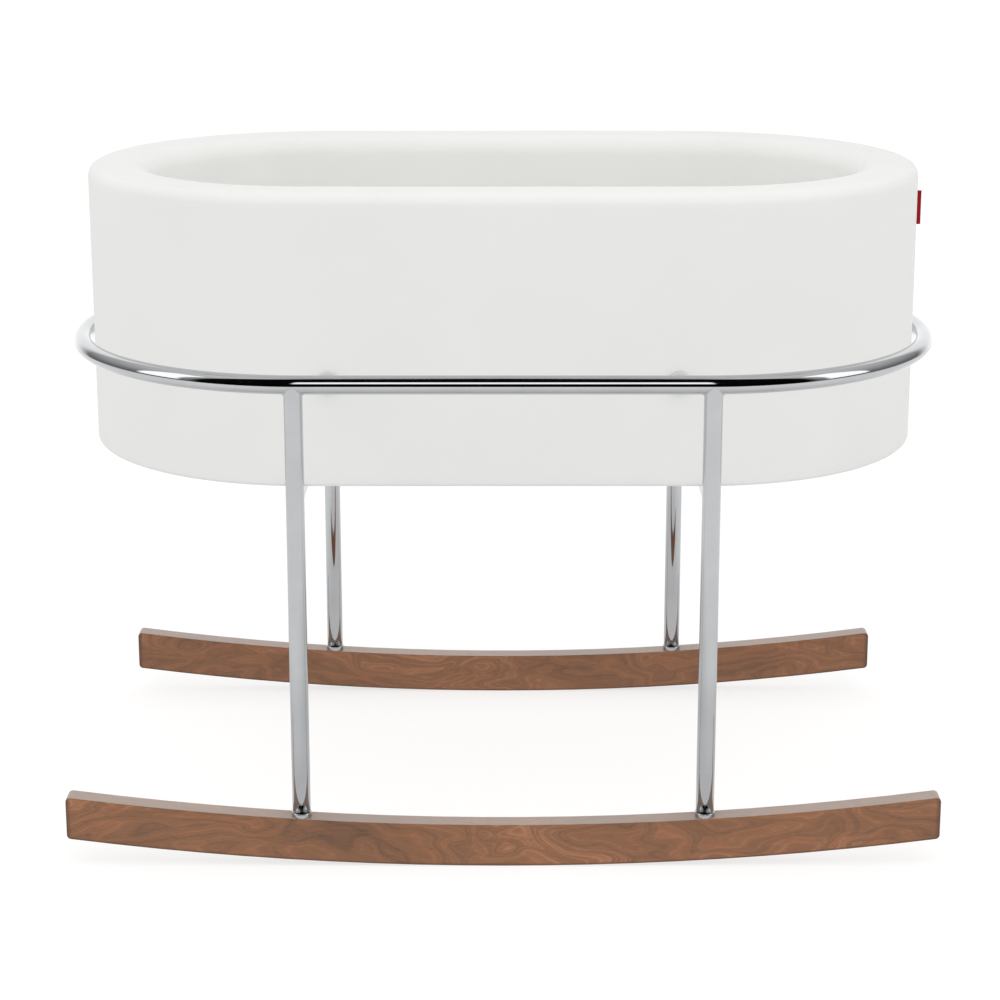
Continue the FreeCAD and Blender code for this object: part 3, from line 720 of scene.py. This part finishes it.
def bar_saddle(name, side):
    """A moulded saddle with ribs across its crown and rounded ends, snapped on to its bar."""
    low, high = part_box("bar_saddle_" + name)
    x0 = side * LEG_X
    half_width = BAR_RADIUS - 0.05 * MM
    skirt = snap(low.z)
    crown = snap(high.z)
    edge = 1.2 * MM
    length = high.y - low.y
    stations = [0.0, 0.25 * MM, 0.7 * MM, 1.3 * MM]
    ribs = np.linspace(2.2 * MM, length - 2.2 * MM, 61)
    along = stations + list(ribs) + [length - s for s in reversed(stations)]
    rows = []
    for y in along:
        end = min(y, length - y)
        shrink = edge * (1 - math.sqrt(max(1 - (1 - min(end / (1.3 * MM), 1.0)) ** 2, 0.0)))
        groove = 0.35 * MM * max(0.0, math.sin(2 * math.pi * y / (5.0 * MM))) ** 3 if end > 2 * MM else 0.0
        top = crown - shrink - groove
        wide = half_width - 0.4 * shrink
        outer = [(-wide, skirt)] + arc((-wide + edge, top - edge), edge, 180, 90, 6)
        outer += run((-wide + edge, top), (wide - edge, top), 5)
        outer += arc((wide - edge, top - edge), edge, 90, 0, 6) + [(wide, skirt)]
        inner_radius = BAR_RADIUS + 0.05 * MM
        lip = math.asin((skirt - BAR_HEIGHT) / inner_radius)
        inner = arc((0, BAR_HEIGHT), inner_radius, math.degrees(lip), 180 - math.degrees(lip), 17)
        inner = [(max(-wide + 0.02 * MM, min(wide - 0.02 * MM, x)), z) for x, z in inner]
        rows.append([(x0 + x, low.y + y, z) for x, z in outer + inner])
    points = np.array(rows)
    faces, _ = lattice(points, False, True)
    count = points.shape[1]
    faces.append(list(range(count)))
    faces.append([(len(along) - 1) * count + c for c in range(count)][::-1])
    made = piece(
        "saddle_" + name,
        points.reshape(-1, 3),
        faces,
        "saddle_rubber",
        "frame",
        ["bar_saddle_" + name],
    )
    close_up(made)


# ---- Basket -----------------------------------------------------------------------------------
SEAM_TURNS = (0.08, 0.16, 0.25, 0.36, 0.5, 0.68, 0.9, 1.2, 1.6, 2.1)
SEAM_DEPTH = 0.8 * MM
SEAM_WIDTH = 0.9 * MM
GATHER_SPACING = 26 * MM
GATHER_DEPTH = 0.9 * MM
RAIL_TO_PLAN = np.array([[1, 0], [BASKET_DEPTH - HEM_WIDTH, 0], [0, BASKET_DEPTH - HEM_WIDTH]])


def wall_section(distance, top_count=10):
    """The wall's outline this far inside the cover's face.

    It runs from under the base, over the rim, to the floor.
    """
    base = max(BASE_EDGE_RADIUS - distance, 0.3 * MM)
    outer = RIM_OUTER_RADIUS - distance
    inner = RIM_INNER_RADIUS - distance
    low, high = BASKET_BOTTOM + distance, BASKET_TOP - distance
    left = WALL - distance
    line = arc((distance + base, low + base), base, 270, 180, 6)
    line += run((distance, low + base), (distance, high - outer), 34)
    line += arc((distance + outer, high - outer), outer, 180, 90, top_count)
    line += run((distance + outer, high), (left - inner, high), 4)
    line += arc((left - inner, high - inner), inner, 90, 0, top_count + 4)
    line += run((left, high - inner), (left, BOARD_TOP), 30) + [(left, BOARD_TOP)]
    return line


def soft_relief(x, y, z):
    """How far the padded surface stands out from its nominal form, in metres, at each point."""
    around = np.arctan2(y, x)
    slow = np.sin(3 * around + 0.7) * np.sin(14 * z + 1.1) + 0.6 * np.sin(7 * around - 0.4 + 9 * z)
    relief = 0.16 * MM * slow
    from_seam = np.abs(np.arctan2(y, np.abs(x) - STRAIGHT)) * np.hypot(np.abs(x) - STRAIGHT, y)
    groove = np.exp(-((from_seam / SEAM_WIDTH) ** 2))
    puff = np.exp(-(((from_seam - 4.5 * MM) / (3.2 * MM)) ** 2))
    pucker = 1 + 0.35 * np.sin(2 * math.pi * z / (6.5 * MM))
    return relief + np.where(np.abs(x) > STRAIGHT, 0.28 * MM * puff * pucker - SEAM_DEPTH * groove, 0.0)


def section_normals(line):
    """Unit normals of a closed line in the section plane, to the left of travel."""
    ahead = np.roll(line, -1, axis=0) - np.roll(line, 1, axis=0)
    ahead /= np.linalg.norm(ahead, axis=1)[:, None] + 1e-12
    return np.stack([-ahead[:, 1], ahead[:, 0]], axis=1)


def fabric_cover():
    """The jersey cover: under the base, up the outside, over the rim and down the inside, 2 mm thick."""
    steps = rail(60, 100, SEAM_TURNS)
    hem = [(HEM_WIDTH, BASKET_BOTTOM)]
    hem += run((HEM_WIDTH, BASKET_BOTTOM), (BASE_EDGE_RADIUS, BASKET_BOTTOM), 12)
    face = hem + wall_section(0.0)
    band_low = BAND_TOP - BAND_THICKNESS - BAND_ROOM
    board_face = [(BAND_START - 18 * MM, BAND_TOP), (BAND_START - BAND_ROOM, BAND_TOP)]
    channel = [(BAND_START - BAND_ROOM, band_low), (BAND_START + BAND_WIDTH + BAND_ROOM, band_low)]
    inner_hem = board_face + channel
    inner_hem += [(BAND_START + BAND_WIDTH + BAND_ROOM, BAND_TOP), (HEM_WIDTH, BAND_TOP)]
    loop = np.array(face + wall_section(COVER_THICKNESS)[::-1] + inner_hem)
    normals = section_normals(loop)
    inset = np.repeat(loop[None], len(steps), axis=0)
    out = BASKET_DEPTH - inset[..., 0]
    x = steps[:, None, 0] + steps[:, None, 1] * out
    y = steps[:, None, 2] * out
    on_face = (np.arange(len(loop)) < len(face)) & (loop[:, 1] >= BASKET_BOTTOM + BASE_EDGE_RADIUS)
    relief = soft_relief(x, y, inset[..., 1]) * on_face
    shaped = inset + normals[None] * relief[..., None]
    around = np.cumsum(np.linalg.norm(np.diff(steps @ RAIL_TO_PLAN, axis=0, prepend=0), axis=1))
    gathers = GATHER_DEPTH * np.sin(2 * math.pi * around / GATHER_SPACING)[:, None]
    under = (loop[:, 1] <= BAND_TOP + 0.1 * MM) & (loop[:, 0] > 20 * MM)
    shaped[..., 0] += gathers * under * np.exp(-(((inset[..., 0] - HEM_WIDTH) / (5 * MM)) ** 2))
    profile = np.stack([BASKET_DEPTH - shaped[..., 0], shaped[..., 1]], axis=-1)
    made = grid_piece("basket_cover", round_oval(steps, profile), "cover_knit", "basket", ["fabric_cover"])
    close_up(made)


def wall_pad():
    """The foam inside the cover, over both faces of the stiff hoop."""
    gap = 0.35 * MM
    steps = rail(24, 48)
    face = wall_section(COVER_THICKNESS + gap)
    face = [p for p in face if p[1] > BOARD_TOP + gap]
    start, end = (face[0][0], BOARD_TOP + gap), (face[-1][0], BOARD_TOP + gap)
    slot_out, slot_in = HOOP_OUTER - gap, HOOP_OUTER + HOOP_THICKNESS + gap
    slot_line = [(slot_in, BOARD_TOP + gap), (slot_in, HOOP_TOP + gap), (slot_out, HOOP_TOP + gap),
                 (slot_out, BOARD_TOP + gap)]
    loop = np.array([start] + face + [end] + slot_line)
    profile = np.stack([BASKET_DEPTH - loop[:, 0], loop[:, 1]], axis=-1)
    made = grid_piece("wall_pad", round_oval(steps, profile), "wall_foam", "basket", ["wall_padding"])
    close_up(made)


def liner():
    """The felt on the floor of the basket, with a turned edge."""
    low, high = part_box("floor_liner")
    depth = snap(high.y)
    steps = rail(24, 48)
    shares = [1.0, 0.999, 0.99, 0.97, 0.9, 0.75, 0.55, 0.35, 0.15, 0.02]
    top = [(depth * s, high.z - (0.35 * MM if s > 0.998 else 0.0) - 0.12 * MM * (s < 0.96)) for s in shares]
    bottom = [(depth * s, low.z + 0.02 * MM) for s in reversed(shares)]
    made = grid_piece("felt_liner", round_oval(steps, top + bottom), "liner_felt", "basket", ["floor_liner"])
    close_up(made)


def side_label():
    """A folded label, its two leaves open a little, sewn into the seam at the right-hand end."""
    low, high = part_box("side_tag")
    half_gap, thickness = 0.32 * MM, 0.38 * MM
    reach = high.x - low.x
    tall = high.z - low.z
    path = [
        (low.x + reach * t, -half_gap - 0.25 * MM * math.sin(math.pi * t))
        for t in np.linspace(0, 0.9, 12)
    ]
    path += [(high.x - half_gap - thickness / 2 + half_gap * math.cos(a), half_gap * math.sin(a))
             for a in np.radians(np.linspace(-80, 80, 9))]
    path += [(x, -y) for x, y in reversed(path[:12])]
    rows = []
    for s in np.linspace(0, 1, 24):
        z = low.z + thickness / 2 + (tall - thickness) * s
        sway = 0.5 * MM * math.sin(2.2 * s + 0.5) * np.linspace(0, 1, 12)
        bend = np.concatenate([sway, np.full(9, sway[-1]), sway[::-1]])
        rows.append([(x, y + b, z) for (x, y), b in zip(path, bend)])
    made = grid_piece("side_label", np.array(rows), "tag_fabric", "basket", ["side_tag"],
                      close_rows=False, close_columns=False)
    solid = made.modifiers.new("cloth", "SOLIDIFY")
    solid.thickness = thickness
    solid.offset = 0


# ---- Mattress ---------------------------------------------------------------------------------
def slab(distance, edge, crown):
    """Section of a soft slab, from the middle of its underside round to the middle of its top."""
    half = MATTRESS_DEPTH - distance
    low, high = MATTRESS_BOTTOM + distance, MATTRESS_TOP - distance
    line = [(half * s, low) for s in (0.0, 0.2, 0.4, 0.6, 0.75, 0.86)]
    line += arc((half - edge, low + edge), edge, 270, 360, 9)
    line += [(half + crown * 0.4 * math.sin(math.pi * t), low + edge + (high - low - 2 * edge) * t)
             for t in (0.2, 0.4, 0.6, 0.8)]
    line += arc((half - edge, high - edge), edge, 0, 90, 9)
    line += [(half * s, high + crown * (1 - (s / 0.95) ** 2)) for s in (0.86, 0.72, 0.55, 0.38, 0.2, 0.0)]
    return line


def slab_piece(name, distance, slot, replaced, crown):
    line = slab(distance, 10 * MM - distance, crown)
    made = grid_piece(name, round_oval(rail(36, 56), line), slot, "mattress", replaced,
                      close_columns=False)
    close_up(made)
    if name == "mattress_sheet":
        puff_up(made)
    return made


def puff_up(made):
    """Blows the sheet up with a cloth simulation and keeps the result.

    Each point is held between its least and its most, outwards and upwards.
    """
    scene = bpy.context.scene
    remesh = made.modifiers.new("voxels", "REMESH")
    remesh.mode = "VOXEL"
    remesh.voxel_size = VOXEL
    remesh.use_smooth_shade = True
    start = settled(made)
    rest = points_of(start)
    squeeze = np.array([(MATTRESS_DEPTH - SHRINK) / MATTRESS_DEPTH] * 2 + [1.0])
    middle = np.array([0.0, 0.0, (MATTRESS_BOTTOM + MATTRESS_TOP) / 2])
    set_points(start, middle + (rest - middle) * squeeze)
    made.modifiers.clear()
    slot_material = made.data.materials[0]
    made.data = start
    made.data.materials.clear()
    made.data.materials.append(slot_material)
    cloth = made.modifiers.new("cloth", "CLOTH")
    for key, value in SHEET_CLOTH.items():
        setattr(cloth.settings, key, value)
    cloth.settings.effector_weights.gravity = 0.0
    cloth.point_cache.frame_start, cloth.point_cache.frame_end = 1, PUFF_FRAMES
    for step in range(1, PUFF_FRAMES + 1):
        scene.frame_set(step)
    blown = settled(made)
    moved = points_of(blown) - rest
    outward = rest[:, :2].copy()
    outward[:, 0] -= np.clip(rest[:, 0], -STRAIGHT, STRAIGHT)
    outward /= np.maximum(np.linalg.norm(outward, axis=1), MM)[:, None]
    sideways = np.clip((moved[:, :2] * outward).sum(axis=1), PUFF_LEAST, PUFF_SIDE)
    moved[:, :2] = sideways[:, None] * outward
    upper = np.clip((rest[:, 2] - middle[2]) / (MATTRESS_TOP - middle[2]), 0.0, 1.0)
    moved[:, 2] = np.clip(moved[:, 2], 0.0, PUFF_TOP) * upper
    made.modifiers.clear()
    set_points(start, rest + moved)
    bpy.data.meshes.remove(blown)
    made.data.polygons.foreach_set("use_smooth", [True] * len(made.data.polygons))
    smoother = made.modifiers.new("subdivision", "SUBSURF")
    smoother.levels = smoother.render_levels = 1
    scene.frame_set(1)


def settled(made):
    """The mesh as its modifiers leave it."""
    graph = bpy.context.evaluated_depsgraph_get()
    graph.update()
    return bpy.data.meshes.new_from_object(made.evaluated_get(graph))


def points_of(mesh):
    flat = np.empty(len(mesh.vertices) * 3)
    mesh.vertices.foreach_get("co", flat)
    return flat.reshape(-1, 3)


def set_points(mesh, points):
    mesh.vertices.foreach_set("co", np.asarray(points, np.float32).ravel())
    mesh.update()


def main():
    ring_tube()
    for name, side, fr in CORNERS:
        leg_tube(name, side, fr)
        foot_collar(name, side, fr)
        ring_pad(name, fr)
        bar_saddle(name, side)
    for name, side in SIDES.items():
        bar_tube(name, side)
    fabric_cover()
    wall_pad()
    liner()
    side_label()
    slab_piece("mattress_sheet", 0.0, "sheet_cotton", ["fitted_sheet"], 1.5 * MM)
    slab_piece("mattress_cover", 1.0 * MM, "ticking", ["mattress_ticking"], 1.2 * MM)
    slab_piece("mattress_pad", 2.2 * MM, "mattress_foam", ["mattress_core"], 1.0 * MM)


def finish_cad_nodes():
    """The CAD nodes that stay in view take the finished material of their slot."""
    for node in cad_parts.values():
        for k, slot in enumerate(node.material_slots):
            name = slot.material.name.split(".")[0]
            node.material_slots[k].material = MATERIALS[name]


# ---- Studio -----------------------------------------------------------------------------------
FLOOR_RADIUS = 2.6
FLOOR_TONE = 0.33  # its own colour, which takes the shade
FLOOR_GLOW = 0.71  # light that it adds, which doesn't
FLOOR_BOUNCE = 0.88  # how bright it looks to cloth
SKY = 0.83
SKY_SIDES = 0.42  # more sky from the left and the right
SKY_INSIDE = 0.3  # more sky after a second bounce, which lights the inside of the basket
BACKDROP = 1.05  # what the camera sees behind the object
SOFTBOX_IN_CHROME = 1.9  # a pale softbox, in front and off to each side
CARD_IN_CHROME = 1.7  # a narrow card, straight ahead
FLAG_DEPTH = 0.996  # how much light the dark flags take away
TOP_LIGHT = 17.5
TOP_LIGHT_SIZE = (3.2, 2.4)
TOP_LIGHT_PLACE = (0.0, -1.2, 2.5)
CAMERA_PLACE = (0.0, -2.427, 1.007)
CAMERA_PITCH = 13.84
CAMERA_LENS = 86.335
CAMERA_SHIFT = (-0.00325, -0.1)


def floor():
    points = [(FLOOR_RADIUS * math.cos(t), FLOOR_RADIUS * math.sin(t), 0.0)
              for t in np.linspace(0, 2 * math.pi, 128, endpoint=False)]
    mesh = bpy.data.meshes.new("floor")
    mesh.from_pydata(points, [], [list(range(len(points)))])
    mesh.materials.append(floor_paint())
    made = bpy.data.objects.new("floor", mesh)
    bpy.context.scene.collection.objects.link(made)


def studio_world():
    """White for the camera, an even white sky for the cloth, and a studio with dark flags for the chrome."""
    world = bpy.data.worlds.new("studio")
    bpy.context.scene.world = world
    world.use_nodes = True
    world.node_tree.nodes.clear()
    g = Graph(world.node_tree)
    dx, dy, dz = g.split(g.tree.nodes.new("ShaderNodeTexCoord").outputs["Generated"])
    flat = g.math("SQRT", g.math("MAXIMUM", g.math("SUBTRACT", 1.0, g.math("MULTIPLY", dz, dz)), 0.0001))
    facing = g.math("DIVIDE", g.math("MULTIPLY", dy, -1.0), flat)
    ahead = g.span(facing, 0.50, 0.62, smooth=True)
    aback = g.span(facing, -0.50, -0.62, smooth=True)

    climb = g.span(dz, -0.02, 0.85, 0.22, 0.85)
    side = g.math(
        "MULTIPLY",
        g.span(facing, 0.02, 0.10, smooth=True),
        g.span(facing, 0.50, 0.42, smooth=True),
    )
    box = g.math("MULTIPLY", g.span(dz, -0.06, 0.0, smooth=True), g.span(dz, 0.80, 0.70, smooth=True))
    value = g.math("MAXIMUM", climb, g.math("MULTIPLY", g.math("MULTIPLY", side, box), SOFTBOX_IN_CHROME))
    value = g.math("MAXIMUM", value, g.span(facing, -0.52, -0.85, 0.0, 1.25, True))

    flag_aback = g.math("MULTIPLY", aback, g.span(dz, 0.84, 0.90, smooth=True))
    flags = g.math("MULTIPLY", g.math("MAXIMUM", ahead, flag_aback), FLAG_DEPTH)
    value = g.math("MULTIPLY", value, g.math("SUBTRACT", 1.0, flags))
    middle = g.span(facing, 0.984, 0.991, smooth=True)
    card = g.math("MULTIPLY", g.span(dz, 0.34, 0.44, smooth=True), g.span(dz, 0.72, 0.64, smooth=True))
    value = g.math("ADD", value, g.math("MULTIPLY", g.math("MULTIPLY", middle, card), CARD_IN_CHROME))

    rays = g.tree.nodes.new("ShaderNodeLightPath").outputs
    sideways = g.math("MULTIPLY_ADD", g.math("MULTIPLY", dx, dx), SKY_SIDES, SKY)
    inside = g.math("GREATER_THAN", rays["Diffuse Depth"], 1.5)
    sideways = g.math("MULTIPLY", sideways, g.math("MULTIPLY_ADD", inside, SKY_INSIDE, 1.0))
    glossy = g.add("Background", Strength=value, Color=(1, 1, 1, 1))
    even = g.add("Background", Strength=sideways, Color=(1, 1, 1, 1))
    seen = g.add("Background", Strength=BACKDROP, Color=(1, 1, 1, 1))
    mirrored = g.math("MULTIPLY", rays["Is Glossy Ray"], g.math("LESS_THAN", rays["Diffuse Depth"], 0.5))
    mixed = g.add("MixShader", i0=mirrored, i1=even, i2=glossy)
    shown = g.add("MixShader", i0=rays["Is Camera Ray"], i1=mixed, i2=seen)
    g.tree.links.new(shown, g.tree.nodes.new("ShaderNodeOutputWorld").inputs[0])


def lights():
    data = bpy.data.lights.new("overhead_softbox", "AREA")
    data.shape = "RECTANGLE"
    data.size, data.size_y = TOP_LIGHT_SIZE
    data.energy = TOP_LIGHT
    made = bpy.data.objects.new("overhead_softbox", data)
    made.location = TOP_LIGHT_PLACE
    made.rotation_euler = (math.atan2(-TOP_LIGHT_PLACE[1], TOP_LIGHT_PLACE[2] - BASKET_TOP), 0, 0)
    made.visible_glossy = False
    bpy.context.scene.collection.objects.link(made)


def camera():
    data = bpy.data.cameras.new("camera")
    data.lens = CAMERA_LENS
    data.sensor_width = 36
    data.shift_x, data.shift_y = CAMERA_SHIFT
    made = bpy.data.objects.new("camera", data)
    made.location = CAMERA_PLACE
    made.rotation_euler = (math.radians(90 - CAMERA_PITCH), 0, 0)
    bpy.context.scene.collection.objects.link(made)
    bpy.context.scene.camera = made


main()
finish_cad_nodes()
floor()
studio_world()
lights()
camera()
bpy.context.scene.view_settings.view_transform = "Standard"
